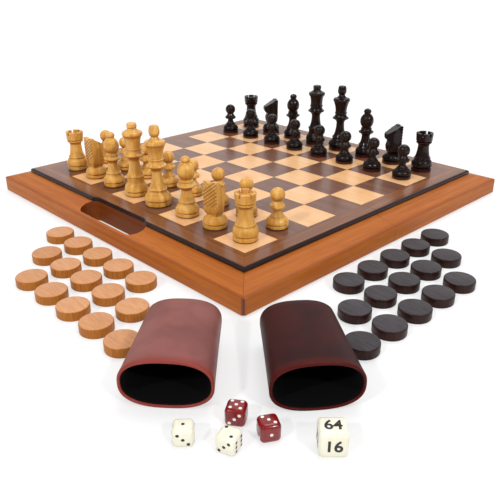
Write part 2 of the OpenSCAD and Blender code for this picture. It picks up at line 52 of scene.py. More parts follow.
# Sizes and heights read from the frame
BOARD_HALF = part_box("end_rail_b")[1].x
PANEL_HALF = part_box("panel_border_b")[1].x
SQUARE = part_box("panel_b")[1].x / 4
TOP_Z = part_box("panel_b")[1].z
TABLE_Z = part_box("dark_draughtsmen")[0].z
TRAY_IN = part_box("play_floor_b")[0].x
TRAY_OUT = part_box("play_floor_b")[1].x
POINT_PITCH = (TRAY_OUT - TRAY_IN) / 6

# Sizes of the case and the set that the frame's boxes don't give
SIDE_H = 14.5 * MM
MOULDING_W = 1.8 * MM
POINT_W, POINT_LEN = 21.6 * MM, 107 * MM
DRAUGHT_PITCH = 32 * MM

# How deep a steep face of a rail may lie and still belong to the outside of the case, which
# takes no painted shade
OUTER_FACE = 2.5 * MM

# Knights: how far the back lies from the middle, how far inside it the painted shade of its
# cuts starts and is full, how high above the board the cuts begin, and which way each back
# looks, in degrees from +X
KNIGHT_BACK = 7.3 * MM
MANE_CUT = (0.1 * MM, 0.3 * MM)
KNIGHT_NECK = 20 * MM
KNIGHT_BACKS = {"white_knight_1": 180, "white_knight_2": 194,
                "black_knight_1": -35, "black_knight_2": -35}

# Points of a CAD mesh closer than this are one point, and edges sharper than this, in
# degrees, stay sharp
WELD = 0.002 * MM
SHARP_EDGE = 32

# The corner from which the places of the dice cups are counted, in x and in y, and how far it
# lies from the board
KIT_GAP = 24 * MM
KIT = -BOARD_HALF - KIT_GAP

# Dice cups: where their mouths lie, in cup widths from that corner, and which way they look
FIRST_CUP, FIRST_CUP_TURN = (-1.37, -0.32), 222
SECOND_CUP, SECOND_CUP_TURN = (-0.29, -1.42), 232
CUP_W, CUP_D, CUP_LEN = 57 * MM, 34 * MM, 74 * MM
CUP_WALL, LINING_T = 2 * MM, 0.8 * MM

# The width of a cup's foot as a share of its mouth's, and how far the wall is drawn in halfway
CUP_TAPER = 0.88
CUP_WAIST = 0.15 * MM

# A cup's pressed foot from its middle to the wall: how much narrower each ring is than the
# foot, and how far it lies from the cup's end, in millimetres
CUP_FOOT = ((12, 1.6), (7, 1.5), (5.5, 0.4), (3.4, 0), (1.2, 0.9), (-0.1, 2.6))

# The bottoms inside a cup: how far down they lie, as a share of its length, and how far their
# corners come in from the wall
SHELL_BOTTOM = (0.96, 2 * MM)
LINING_BOTTOM = (0.93, 3 * MM)

# Rings of a cup: how many points each has, and how full its oval is, where 2 is an ellipse
RING_POINTS = 64
OVAL_FULLNESS = 2.5

# Dice: CAD node, turn about the vertical, and how each was tumbled about x and y, in degrees
WHITE_DICE = (("white_die_1", 48, (180, 0)), ("white_die_2", 20, (90, 0)))
RED_DICE = (("red_die_1", 35, (-90, 0)), ("red_die_2", 60, (0, 90)))
DIE_SIDE, DIE_ROUND = 12 * MM, 2.7 * MM

# Pips: radius, spacing, and how thick the paint lies as a share of the radius
PIP_R, PIP_STEP, PIP_FLAT = MM, 0.24 * DIE_SIDE, 0.06

# Faces of a die: the axis and the angle that turn the top face there, and its pips
PIP_FACES = (("Z", 0, 6), ("X", 180, 1), ("Y", 90, 4), ("Y", -90, 3), ("X", -90, 2), ("X", 90, 5))

# The doubling cube, and for each of the same faces its number and the numeral's turn in degrees
CUBE_SIDE, CUBE_ROUND, CUBE_TURN = 16 * MM, 2.6 * MM, 45
CUBE_NUMBERS = ((64, -90), (2, -90), (8, 90), (16, -90), (32, 180), (4, 180))
NUMERAL_SIZE = 0.62 * CUBE_SIDE
NUMERAL_T, NUMERAL_BOLD = 0.05 * MM, 0.25 * MM

# The camera that took the photograph, in metres, degrees and millimetres
CAMERA_PLACE = (-0.46603, -0.48094, 0.24059)
CAMERA_TURN = -44.19
CAMERA_DIP = 25.14
CAMERA_LENS = 45.73
SENSOR_W = 36
CLIP = (0.01, 50)

# Lamps: name, degrees to the side of the way the camera looks, rise, strength and angular size
LAMPS = (("key", -42, 40, 1.05, 4), ("fill", 38, 40, 0.95, 4), ("top", 150, 70, 0.75, 30))

# Light from all around, and the white backdrop that the lacquer reflects: how high its middle
# stands, how far from there its fading starts and ends, in degrees, and what is left of it then
AMBIENT = 0.7
BACKDROP_RISE = 15
BACKDROP_FADE = (30, 60)
BACKDROP_DIM = 0.2

# The floor: how far it reaches, how much of it glows by itself before the camera, and how near
# to it the soft light from below still comes through
FLOOR_REACH = 6
FLOOR_GLOW = 0.5
FLOOR_CLEAR = 40 * MM

# Coats that several woods share
BOARD_LACQUER = {"roughness": 0.5, "specular_ior_level": 0.2, "coat_weight": 0.55,
                 "coat_roughness": 0.18}
INSIDE_VARNISH = {"roughness": 0.4, "coat_weight": 0.2, "coat_roughness": 0.25}


def srgb(r, g, b):
    """A colour written as it shows on screen, 0 to 255, as the linear values that shaders use."""
    def linear(v):
        v /= 255
        return v / 12.92 if v <= 0.04045 else ((v + 0.055) / 1.055) ** 2.4
    return (linear(r), linear(g), linear(b), 1.0)


class Nodes:
    """An emptied node tree whose nodes are added one call at a time."""

    def __init__(self, tree):
        self.tree = tree
        tree.nodes.clear()

    def add(self, kind, inputs=None, **settings):
        """A new node; inputs are values or the outputs of other nodes."""
        node = self.tree.nodes.new(kind)
        for key, value in settings.items():
            setattr(node, key, value)
        for key, value in (inputs or {}).items():
            if isinstance(value, bpy.types.NodeSocket):
                self.tree.links.new(value, node.inputs[key])
            else:
                node.inputs[key].default_value = value
        return node

    def math(self, operation, a, b=0.0, c=0.0):
        """The result of a Math node."""
        return self.add("ShaderNodeMath", {0: a, 1: b, 2: c}, operation=operation).outputs[0]

    def dot(self, vector, direction):
        """How far a vector goes in a direction."""
        node = self.add("ShaderNodeVectorMath", {0: vector, 1: direction}, operation="DOT_PRODUCT")
        return node.outputs["Value"]

    def ramp(self, value, low, high, to_low=0.0, to_high=1.0):
        """value smoothly taken from low..high to to_low..to_high."""
        node = self.add("ShaderNodeMapRange", {"Value": value, "From Min": low, "From Max": high,
                        "To Min": to_low, "To Max": to_high}, interpolation_type="SMOOTHSTEP")
        return node.outputs["Result"]

    def blend(self, factor, a, b):
        """Shader a where factor is 0 and shader b where it is 1."""
        inputs = {0: factor, 1: a.outputs[0], 2: b.outputs[0]}
        return self.add("ShaderNodeMixShader", inputs)


class Shade(Nodes):
    """A material. Its places are in metres, in the frame."""

    def __init__(self, name):
        self.material = bpy.data.materials.new(name)
        self.material.use_nodes = True
        super().__init__(self.material.node_tree)
        coords = self.add("ShaderNodeTexCoord").outputs
        self.point, self.normal = coords["Object"], coords["Normal"]
        self.x, self.y, self.z = self.add("ShaderNodeSeparateXYZ", {"Vector": self.point}).outputs

    def vector(self, x, y, z):
        """A vector of three values."""
        return self.add("ShaderNodeCombineXYZ", {0: x, 1: y, 2: z}).outputs[0]

    def gap(self, a, b):
        """How far apart two values are."""
        return self.math("ABSOLUTE", self.math("SUBTRACT", a, b))

    def up(self):
        """1 on faces that look up, 0 on vertical faces and -1 on faces that look down."""
        return self.add("ShaderNodeSeparateXYZ", {"Vector": self.normal}).outputs[2]

    def off_axes(self):
        """How far the surface lies from the board's middle in x and in y."""
        return self.math("ABSOLUTE", self.x), self.math("ABSOLUTE", self.y)

    def distance_along(self, start, direction):
        """How far the surface lies from start in a direction."""
        inputs = {0: self.point, 1: start}
        from_start = self.add("ShaderNodeVectorMath", inputs, operation="SUBTRACT")
        return self.dot(from_start.outputs[0], direction)

    def noise(self, per_mm, detail=3.0, rough=0.5, warp=0.0, vector=None, offset=0.0):
        """Noise whose three frequencies are given per millimetre."""
        scaled = self.add("ShaderNodeVectorMath", {0: vector or self.point,
                          1: tuple(f / MM for f in per_mm), 2: (offset, offset, offset)},
                          operation="MULTIPLY_ADD")
        node = self.add("ShaderNodeTexNoise", {"Vector": scaled.outputs[0], "Scale": 1.0,
                        "Detail": detail, "Roughness": rough, "Distortion": warp})
        return node.outputs["Fac"]

    def cell(self, pitch, salt=0.0, corner=(0.0, 0.0)):
        """A random number for each cell of a square grid that starts at corner."""
        def steps(value, start):
            from_start = self.math("SUBTRACT", value, start)
            return self.math("FLOOR", self.math("DIVIDE", from_start, pitch))
        at = self.vector(steps(self.x, corner[0]), steps(self.y, corner[1]), salt)
        return self.add("ShaderNodeTexWhiteNoise", {"Vector": at}).outputs["Value"]

    # A Mix node takes two colours at its sockets 6 and 7, or two vectors at 4 and 5
    def mix(self, factor, a, b):
        """Colour a where factor is 0 and colour b where it is 1."""
        return self.add("ShaderNodeMix", {0: factor, 6: a, 7: b}, data_type="RGBA").outputs[2]

    def stain(self, colour, value, low, high, share, tone):
        """Lays tone over colour, by up to share, where the value rises from low to high."""
        return self.mix(self.ramp(value, low, high, 0, share), colour, tone)

    def line(self, colour, distance, near, far, share, tone):
        """Lays tone over colour, by up to share, where the distance falls from far to near."""
        return self.mix(self.ramp(distance, near, far, share, 0), colour, tone)

    def tint(self, colour, value, share, tone):
        """Lays tone over colour by the value's share."""
        return self.mix(self.math("MULTIPLY", value, share), colour, tone)

    def bump(self, height, depth):
        """The normal of a surface that rises by depth where height goes from 0 to 1."""
        inputs = {"Height": height, "Strength": 1.0, "Distance": depth}
        return self.add("ShaderNodeBump", inputs).outputs["Normal"]

    def end(self, shader):
        """Ends the material in a shader."""
        self.add("ShaderNodeOutputMaterial", {0: shader.outputs[0]})
        return self.material

    def finish(self, **inputs):
        """Ends the material in one Principled shader; underscores stand for spaces."""
        named = {key.replace("_", " ").title().replace("Ior", "IOR"): value
                 for key, value in inputs.items()}
        return self.end(self.add("ShaderNodeBsdfPrincipled", named))


def grain(shade, along, fine=1.6, coarse=0.22, stretch=0.03):
    """Broad bands, fibres and finer pores of a board whose grain runs along one axis."""
    def per_mm(f):
        return tuple(f * stretch if axis == along else f for axis in "xyz")
    bands = shade.noise(per_mm(coarse), 2, 0.5, 0.6)
    fibres = shade.noise(per_mm(fine), 4, 0.62, 0.2, offset=3)
    pores = shade.noise(per_mm(fine * 2.4), 2, 0.7, offset=7)
    return bands, fibres, pores


def frame_wood(name, along):
    """Varnished orange-brown rails, darker at joints and along the arris, with painted shade on
    the steep faces inside the slot.
    """
    s = Shade(name)
    bands, fibres, pores = grain(s, along)
    off_x, off_y = s.off_axes()
    colour = s.mix(s.ramp(bands, 0.3, 0.7), srgb(164, 86, 22), srgb(178, 102, 34))
    colour = s.stain(colour, fibres, 0.42, 0.7, 0.5, srgb(140, 64, 14))
    colour = s.stain(colour, pores, 0.58, 0.78, 0.35, srgb(104, 48, 14))
    # Painted shade: steep faces inside the case, away from its outer sides, are darkened
    steep = s.ramp(s.math("ABSOLUTE", s.up()), 0.25, 0.5, 1, 0)
    within = s.math("LESS_THAN", s.math("MAXIMUM", off_x, off_y), BOARD_HALF - OUTER_FACE)
    colour = s.tint(colour, s.math("MULTIPLY", steep, within), 0.75, srgb(92, 34, 8))
    colour = s.line(colour, s.gap(s.z, SIDE_H), 0.2 * MM, 0.8 * MM, 0.45, srgb(110, 40, 14))
    colour = s.line(colour, s.gap(off_x, off_y), 0.1 * MM, 0.45 * MM, 0.7, srgb(90, 38, 16))
    return s.finish(base_color=colour, roughness=0.46, specular_ior_level=0.2, coat_weight=0.04,
                    coat_roughness=0.2, normal=s.bump(fibres, 0.05 * MM))


def spline_wood():
    """The corner keys, darkest along the mitre that they cross."""
    s = Shade("spline_wood")
    _, fibres, _ = grain(s, "z")
    colour = s.mix(s.ramp(fibres, 0.35, 0.7), srgb(110, 48, 22), srgb(140, 70, 34))
    colour = s.line(colour, s.gap(*s.off_axes()), 0.2 * MM, 0.7 * MM, 0.85, srgb(50, 22, 14))
    return s.finish(base_color=colour, **INSIDE_VARNISH)


def dark_squares():
    """Open-grained walnut of the panel, with a tone of its own for each square."""
    s = Shade("walnut_veneer")
    bands, fibres, pores = grain(s, "y", fine=1.3, coarse=0.16)
    colour = s.mix(s.ramp(bands, 0.32, 0.68), srgb(106, 63, 42), srgb(128, 82, 56))
    colour = s.stain(colour, fibres, 0.4, 0.72, 0.6, srgb(92, 58, 54))
    colour = s.stain(colour, pores, 0.56, 0.74, 0.5, srgb(66, 38, 36))
    colour = s.tint(colour, s.cell(SQUARE), 0.45, srgb(92, 54, 38))
    return s.finish(base_color=colour, normal=s.bump(fibres, 0.01 * MM), **BOARD_LACQUER)


def border_wood():
    """Walnut whose grain follows each strip, nearly black on the moulded edge and on steep faces.
    """
    s = Shade("walnut_border")
    off_x, off_y = s.off_axes()
    on_long = s.math("GREATER_THAN", off_y, off_x)
    with_strip = s.add("ShaderNodeMix", {0: on_long, 4: s.point, 5: s.vector(s.y, s.x, s.z)},
                       data_type="VECTOR").outputs[1]
    bands = s.noise((0.16, 0.005, 0.16), 2, 0.5, 0.6, with_strip)
    fibres = s.noise((1.3, 0.04, 1.3), 4, 0.62, 0.2, with_strip, 3)
    pores = s.noise((3.1, 0.08, 3.1), 2, 0.7, 0.0, with_strip, 7)
    colour = s.mix(s.ramp(bands, 0.32, 0.68), srgb(110, 60, 28), srgb(142, 86, 44))
    colour = s.stain(colour, fibres, 0.4, 0.72, 0.6, srgb(88, 50, 36))
    colour = s.stain(colour, pores, 0.56, 0.74, 0.5, srgb(56, 32, 24))
    colour = s.line(colour, s.gap(off_x, off_y), 0.05 * MM, 0.35 * MM, 0.6, srgb(50, 30, 28))
    inside = s.math("SUBTRACT", PANEL_HALF, s.math("MAXIMUM", off_x, off_y))
    moulding = s.ramp(inside, MOULDING_W * 0.8, MOULDING_W * 1.1, 1, 0)
    steep = s.ramp(s.math("ABSOLUTE", s.up()), 0.3, 0.7, 1, 0)
    colour = s.mix(s.math("MAXIMUM", moulding, steep), colour, srgb(34, 20, 20))
    return s.finish(base_color=colour, normal=s.bump(fibres, 0.01 * MM), **BOARD_LACQUER)


def maple():
    """The light squares, blushed in places, with a tone of its own for each."""
    s = Shade("maple")
    bands, fibres, _ = grain(s, "y", fine=1.1, coarse=0.12, stretch=0.05)
    blush = s.noise((0.03, 0.03, 0.03), 2, 0.5, offset=9)
    colour = s.mix(s.ramp(bands, 0.3, 0.7), srgb(228, 176, 122), srgb(232, 188, 140))
    colour = s.stain(colour, fibres, 0.45, 0.75, 0.35, srgb(218, 158, 98))
    colour = s.tint(colour, s.cell(SQUARE), 0.6, srgb(226, 166, 104))
    colour = s.stain(colour, blush, 0.5, 0.75, 0.5, srgb(224, 156, 90))
    return s.finish(base_color=colour, normal=s.bump(fibres, 0.01 * MM), **BOARD_LACQUER)


def floor_veneer():
    """The floor inside: stripes of mauve and brown veneer with red streaks."""
    s = Shade("floor_veneer")
    bands, fibres, pores = grain(s, "y", fine=1.0, coarse=0.12)
    streaks = s.noise((0.5, 0.005, 0.5), 3, 0.6, 0.4, offset=11)
    colour = s.mix(s.ramp(bands, 0.35, 0.65), srgb(116, 76, 66), srgb(144, 106, 94))
    colour = s.stain(colour, streaks, 0.5, 0.66, 0.75, srgb(154, 60, 38))
    colour = s.stain(colour, fibres, 0.45, 0.75, 0.5, srgb(86, 54, 50))
    return s.finish(base_color=colour, normal=s.bump(pores, 0.02 * MM), **INSIDE_VARNISH)


def point_veneer(name, light, dark, rim):
    """Inlaid points, with a fine dark joint along their edges."""
    s = Shade(name)
    bands, fibres, _ = grain(s, "y", fine=1.0, coarse=0.14)
    colour = s.mix(s.ramp(bands, 0.35, 0.65), light, dark)
    colour = s.stain(colour, fibres, 0.45, 0.75, 0.4, dark)
    off_x, off_y = s.off_axes()
    place = s.math("DIVIDE", s.math("SUBTRACT", off_x, TRAY_IN), POINT_PITCH)
    off_middle = s.math("MULTIPLY", s.gap(s.math("FRACT", place), 0.5), POINT_PITCH)
    from_wall = s.math("SUBTRACT", TRAY_OUT, off_y)
    half_w = s.math("MULTIPLY_ADD", from_wall, -POINT_W / 2 / POINT_LEN, POINT_W / 2)
    to_edge = s.math("SUBTRACT", half_w, off_middle)
    colour = s.line(colour, to_edge, 0.15 * MM, 0.5 * MM, 0.8, rim)
    return s.finish(base_color=colour, **INSIDE_VARNISH)


def felt():
    """The tray's dark green lining."""
    s = Shade("felt")
    fuzz = s.noise((2.2, 2.2, 2.2), 4, 0.7)
    colour = s.mix(s.ramp(fuzz, 0.35, 0.65), srgb(15, 20, 9), srgb(32, 38, 17))
    return s.finish(base_color=colour, roughness=0.95, sheen_weight=0.06, sheen_roughness=0.6,
                    normal=s.bump(fuzz, 0.25 * MM))


def metal(name, colour, roughness):
    """Brushed metal with dull patches."""
    s = Shade(name)
    brushed = s.noise((0.4, 6.0, 6.0), 2, 0.6)
    worn = s.noise((0.15, 0.15, 0.15), 3, 0.6)
    return s.finish(base_color=s.stain(colour, worn, 0.3, 0.7, 0.35, srgb(70, 62, 34)),
                    metallic=0.9, roughness=s.ramp(brushed, 0.3, 0.7, roughness, roughness + 0.15),
                    normal=s.bump(brushed, 0.01 * MM))


# The woods of the chessmen, by the record's slot, with the colours of the painted shade and
# bounce light on faces that look down, and of the painted contact shadow on boxwood and the
# painted red reflection on ebonised wood at the foot of the base
MEN = {
    "boxwood": {"light": srgb(228, 178, 94), "dark": srgb(200, 140, 54), "pore": srgb(166, 98, 30),
                "under": srgb(150, 82, 22), "foot_shadow_and_reflection": srgb(60, 34, 20), "foot_shadow_and_reflection_h": 1.5 * MM,
                "coat": 0.4},
    "ebonised_wood": {"light": srgb(7, 4, 4), "dark": srgb(20, 7, 6), "pore": srgb(70, 22, 14),
                      "under": srgb(30, 8, 5), "foot_shadow_and_reflection": srgb(76, 26, 12), "foot_shadow_and_reflection_h": 3 * MM,
                      "coat": 0.25},
}


def man_wood(name, light, dark, pore, under, foot_shadow_and_reflection, foot_shadow_and_reflection_h, coat, carved=None):
    """Lacquered turned wood with upright grain. Faces that look down get painted shade and bounce
    light, and the lowest part of the base gets a painted contact shadow on boxwood and a painted
    red reflection on ebonised wood. carved is the node of a knight, whose mane is cut and whose
    cuts get painted shade."""
    s = Shade(name)
    bands = s.noise((0.2, 0.2, 0.02), 2, 0.5, 0.8)
    fibres = s.noise((1.5, 1.5, 0.06), 4, 0.65, 0.3, offset=5)
    colour = s.mix(s.ramp(bands, 0.3, 0.7), dark, light)
    colour = s.stain(colour, fibres, 0.45, 0.72, 0.5, pore)
    colour = s.tint(colour, s.cell(SQUARE, salt=2.0), 0.35, dark)
    # Painted shade and bounce light on faces that look down, fading out on upright faces
    colour = s.line(colour, s.up(), -0.8, 0.1, 0.8, under)
    # Painted shade in the floors of the cuts in a knight's mane
    if carved:
        colour = s.mix(mane_cuts(s, carved), colour, under)
    # Painted contact shadow on boxwood, and painted red reflection on ebonised wood, at the foot
    # of the base
    height = s.math("SUBTRACT", s.z, TOP_Z)
    colour = s.line(colour, height, foot_shadow_and_reflection_h * 0.5, foot_shadow_and_reflection_h, 0.85, foot_shadow_and_reflection)
    return s.finish(base_color=colour, roughness=0.34, specular_ior_level=0.25, coat_weight=coat,
                    coat_roughness=0.04, normal=s.bump(fibres, 0.015 * MM))


def mane_cuts(s, node):
    """1 on the floors of the cuts in a knight's back, which lie a little inside its flat; these
    floors get painted shade.
    """
    low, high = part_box(node)
    middle = (low + high) / 2
    angle = math.radians(KNIGHT_BACKS[node])
    outward = (math.cos(angle), math.sin(angle), 0)
    depth = s.distance_along((middle.x, middle.y, 0), outward)
    shallow, deep = MANE_CUT
    inside = s.ramp(depth, KNIGHT_BACK - deep, KNIGHT_BACK - shallow, 1, 0)
    above_neck = s.math("GREATER_THAN", s.z, TOP_Z + KNIGHT_NECK)
    backward = s.math("GREATER_THAN", s.dot(s.normal, outward), 0.6)
    return s.math("MULTIPLY", inside, s.math("MULTIPLY", backward, above_neck))


def draughts_wood(name, node, top_light, top_dark, side_light, side_dark):
    """Plain discs whose end faces and turned side differ in colour, disc by disc."""
    s = Shade(name)
    face = s.noise((1.2, 0.08, 1.2), 4, 0.65, 0.4)
    edge = s.noise((1.1, 1.1, 0.05), 3, 0.65, 0.2, offset=4)
    top = s.mix(s.ramp(face, 0.35, 0.68), top_light, top_dark)
    side = s.mix(s.ramp(edge, 0.35, 0.68), side_light, side_dark)
    colour = s.mix(s.ramp(s.math("ABSOLUTE", s.up()), 0.45, 0.9), side, top)
    colour = s.tint(colour, s.cell(DRAUGHT_PITCH, 3.0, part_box(node)[0]), 0.35, side_dark)
    return s.finish(base_color=colour, roughness=0.4, specular_ior_level=0.2, coat_weight=0.05,
                    coat_roughness=0.2, normal=s.bump(face, 0.02 * MM))


def leather(name, lay, light, dark, rim, gloss):
    """Smooth hide with a fine pebble, redder towards the mouth of the cup that it is on."""
    s = Shade(name)
    pebbles = s.add("ShaderNodeTexVoronoi", {"Vector": s.point, "Scale": 1.1 / MM},
                    feature="SMOOTH_F1").outputs["Distance"]
    tone = s.noise((0.04, 0.04, 0.04), 2, 0.5, 0.3)
    creases = s.noise((0.9, 0.9, 0.9), 4, 0.7, offset=2)
    colour = s.mix(s.ramp(tone, 0.3, 0.7), dark, light)
    colour = s.stain(colour, creases, 0.5, 0.8, 0.2, dark)
    from_mouth = s.distance_along(lay.translation, lay.to_3x3().col[2])
    colour = s.line(colour, from_mouth, MM, 9 * MM, 0.9, rim)
    height = s.math("ADD", pebbles, s.math("MULTIPLY", creases, 0.6))
    return s.finish(base_color=colour, roughness=0.42, specular_ior_level=gloss,
                    normal=s.bump(height, 0.03 * MM))


def cup_lining_cloth():
    """Nearly black napped cloth."""
    s = Shade("cup_lining")
    fuzz = s.noise((2.5, 2.5, 2.5), 3, 0.7)
    colour = s.mix(s.ramp(fuzz, 0.35, 0.65), srgb(3, 3, 4), srgb(10, 9, 11))
    return s.finish(base_color=colour, roughness=0.95, specular_ior_level=0.15,
                    normal=s.bump(fuzz, 0.15 * MM))


def plastic(name, colour, vein):
    """Polished plastic, clouded by a second colour, that light enters a little."""
    s = Shade(name)
    cloud = s.noise((0.12, 0.12, 0.12), 3, 0.6)
    scuff = s.noise((1.4, 1.4, 1.4), 3, 0.6)
    return s.finish(base_color=s.stain(colour, cloud, 0.4, 0.75, 0.5, vein),
                    roughness=s.ramp(scuff, 0.3, 0.7, 0.16, 0.28), subsurface_weight=0.1,
                    subsurface_radius=(0.002, 0.0015, 0.001), coat_weight=0.3,
                    normal=s.bump(scuff, 0.004 * MM))


def paint(name, colour):
    """Paint of pips and numerals, finely specked."""
    s = Shade(name)
    speck = s.noise((2.0, 2.0, 2.0), 2, 0.6)
    return s.finish(base_color=s.stain(colour, speck, 0.4, 0.8, 0.3, srgb(90, 86, 84)),
                    roughness=0.35, normal=s.bump(speck, 0.004 * MM))


def slot_looks():
    """The materials of the CAD nodes that stay, by the record's slot or the rail's direction."""
    looks = {slot: man_wood(slot, **wood) for slot, wood in MEN.items()}
    looks["rail_along_x"] = frame_wood("frame_wood_long", "x")
    looks["rail_along_y"] = frame_wood("frame_wood_end", "y")
    looks["spline_wood"] = spline_wood()
    looks["walnut_veneer"] = dark_squares()
    looks["walnut_border"] = border_wood()
    looks["maple"] = maple()
    looks["floor_veneer"] = floor_veneer()
    looks["felt"] = felt()
    looks["brass"] = metal("brass", srgb(150, 132, 62), 0.42)
    looks["steel"] = metal("steel", srgb(190, 188, 184), 0.25)
    looks["cream_veneer"] = point_veneer("cream_veneer", srgb(242, 220, 156), srgb(230, 200, 130),
                                         srgb(90, 50, 40))
    looks["red_veneer"] = point_veneer("red_veneer", srgb(152, 72, 50), srgb(124, 52, 40),
                                       srgb(70, 34, 30))
    looks["light_draughts_wood"] = draughts_wood(
        "light_draughts_wood", "light_draughtsmen", srgb(214, 158, 114), srgb(194, 136, 92),
        srgb(180, 112, 40), srgb(150, 86, 26))
    looks["dark_draughts_wood"] = draughts_wood(
        "dark_draughts_wood", "dark_draughtsmen", srgb(72, 66, 70), srgb(46, 40, 44),
        srgb(54, 20, 11), srgb(22, 9, 7))
    return looks


def node_look(name, slot, looks):
    """The material of one CAD node, or None for a node that another piece replaces."""
    if slot == "frame_wood":
        return looks["rail_along_x" if name.startswith(("front", "back")) else "rail_along_y"]
    if name in KNIGHT_BACKS:
        return man_wood(name + "_wood", **MEN[slot], carved=name)
    return looks.get(slot)


def smooth_by_angle():
    """A node group that joins a CAD mesh's split points and shades its gentle edges smooth."""
    group = bpy.data.node_groups.new("smooth_by_angle", "GeometryNodeTree")
    for side in ("INPUT", "OUTPUT"):
        group.interface.new_socket("Geometry", in_out=side, socket_type="NodeSocketGeometry")
    t = Nodes(group)
    given = t.add("NodeGroupInput").outputs[0]
    welded = t.add("GeometryNodeMergeByDistance", {"Geometry": given, "Distance": WELD})
    angle = t.add("GeometryNodeInputMeshEdgeAngle").outputs["Unsigned Angle"]
    sharp = t.add("FunctionNodeCompare", {0: angle, 1: math.radians(SHARP_EDGE)},
                  operation="GREATER_THAN")
    smooth = t.add("GeometryNodeSetShadeSmooth", {"Geometry": welded.outputs[0]})
    creased = t.add("GeometryNodeSetShadeSmooth",
                    {"Geometry": smooth.outputs[0], "Selection": sharp.outputs[0],
                     "Shade Smooth": False}, domain="EDGE")
    t.add("NodeGroupOutput", {0: creased.outputs[0]})
    return group


def dress_frame():
    """Gives every CAD node that stays its material and smooth curved faces."""
    looks, smooth = slot_looks(), smooth_by_angle()
    for part in frame["record"]["subparts"]:
        name = part["node"]
        material = node_look(name, part["material_slot"], looks)
        if material:
            obj = frame["nodes"][name]
            obj.data.materials.clear()
            obj.data.materials.append(material)
            obj.modifiers.new("smooth", "NODES").node_group = smooth


def turned(axis, degrees):
    """A turn about one axis."""
    return Matrix.Rotation(math.radians(degrees), 4, axis)


def new_piece(name, data, material, body, place=Matrix.Identity(4)):
    """An object in the frame that rides on a body and takes a material."""
    piece = bpy.data.objects.new(name, data)
    bpy.context.scene.collection.objects.link(piece)
    piece.matrix_world = place
    data.materials.append(material)
    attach(piece, body)
    return piece


def smooth_mesh(name, bm):
    """A mesh of what the bmesh holds, with smooth faces. The bmesh is freed."""
    mesh = bpy.data.meshes.new(name)
    bm.to_mesh(mesh)
    bm.free()
    mesh.shade_smooth()
    return mesh


def oval_ring(bm, w, d, z):
    """One ring of an oval whose sides are a little flatter than an ellipse's."""
    ring = []
    for i in range(RING_POINTS):
        a = 2 * math.pi * i / RING_POINTS
        c, s = math.cos(a), math.sin(a)
        x = math.copysign(abs(c) ** (2 / OVAL_FULLNESS), c) * w / 2
        y = math.copysign(abs(s) ** (2 / OVAL_FULLNESS), s) * d / 2
        ring.append(bm.verts.new((x, y, z)))
    return ring


def loft(name, rings, place, open_start=False):
    """A mesh through rings of (width, depth, height), closed at its ends, put at place."""
    bm = bmesh.new()
    loops = [oval_ring(bm, *ring) for ring in rings]
    for a, b in zip(loops, loops[1:]):
        for i in range(RING_POINTS):
            j = (i + 1) % RING_POINTS
            bm.faces.new((a[i], a[j], b[j], b[i]))
    if not open_start:
        bm.faces.new(loops[0][::-1])
    bm.faces.new(loops[-1])
    bmesh.ops.recalc_face_normals(bm, faces=bm.faces)
    bm.transform(place)
    return smooth_mesh(name, bm)


def wall_ring(share, inset=0.0):
    """Width, depth and height of the cup's wall, share of the way from the mouth to the foot."""
    taper = 1 + (CUP_TAPER - 1) * share
    return CUP_W * taper - 2 * inset, CUP_D * taper - 2 * inset, CUP_LEN * share


def shell_rings():
    """A cup's rings from the middle of the foot, up the wall, over the rim and down inside."""
    foot_w, foot_d, _ = wall_ring(1)
    rings = [(foot_w - inward * MM, foot_d - inward * MM, CUP_LEN - up * MM)
             for inward, up in CUP_FOOT]
    for share in (0.9, 0.75, 0.6, 0.45, 0.3, 0.15, 0.06):
        rings.append(wall_ring(share, CUP_WAIST * math.sin(math.pi * share)))
    w, d, _ = wall_ring(0)
    for angle in range(0, 181, 30):
        out, up = math.cos(math.radians(angle)), math.sin(math.radians(angle))
        rings.append((w - CUP_WALL + CUP_WALL * out, d - CUP_WALL + CUP_WALL * out,
                      CUP_WALL / 2 * (1 - up)))
    rings += [wall_ring(share, CUP_WALL) for share in (0.08, 0.3, 0.6, 0.9)]
    bottom, corner = SHELL_BOTTOM
    rings.append(wall_ring(bottom, CUP_WALL + corner))
    return rings


def lining_rings():
    """The lining's rings from just inside the rim to the bottom."""
    inset = CUP_WALL + LINING_T
    rings = [wall_ring(0.015, CUP_WALL)]
    rings += [wall_ring(share, inset) for share in (0.03, 0.3, 0.6, 0.9)]
    bottom, corner = LINING_BOTTOM
    rings.append(wall_ring(bottom, inset + corner))
    return rings


def lay_cup(place, turn):
    """The same lay as in the part's source: on its flat side, mouth towards the turn angle."""
    lean = math.atan(CUP_D * (1 - CUP_TAPER) / 2 / CUP_LEN)
    corner = Vector((KIT + place[0] * CUP_W, KIT + place[1] * CUP_W, TABLE_Z))
    axis_height = Matrix.Translation((0, 0, CUP_D / 2 * math.cos(lean)))
    return (Matrix.Translation(corner) @ turned("Z", turn) @ axis_height
            @ turned("Y", math.degrees(lean) - 90) @ turned("Z", 90))


def dice_cup(number, lay, skin, cloth):
    """A leather cup with a pressed foot, a plain wall, a rolled rim and a cloth lining."""
    shell_node, lining_node = "dice_cup_%d" % number, "cup_lining_%d" % number
    body = "cup_%d" % number
    shell_mesh = loft(shell_node, shell_rings(), lay)
    shell = new_piece(shell_node + "_leather", shell_mesh, skin, body)
    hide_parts(shell_node)
    lining_mesh = loft(lining_node, lining_rings(), lay, open_start=True)
    lining = new_piece(lining_node + "_cloth", lining_mesh, cloth, body)
    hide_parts(lining_node)


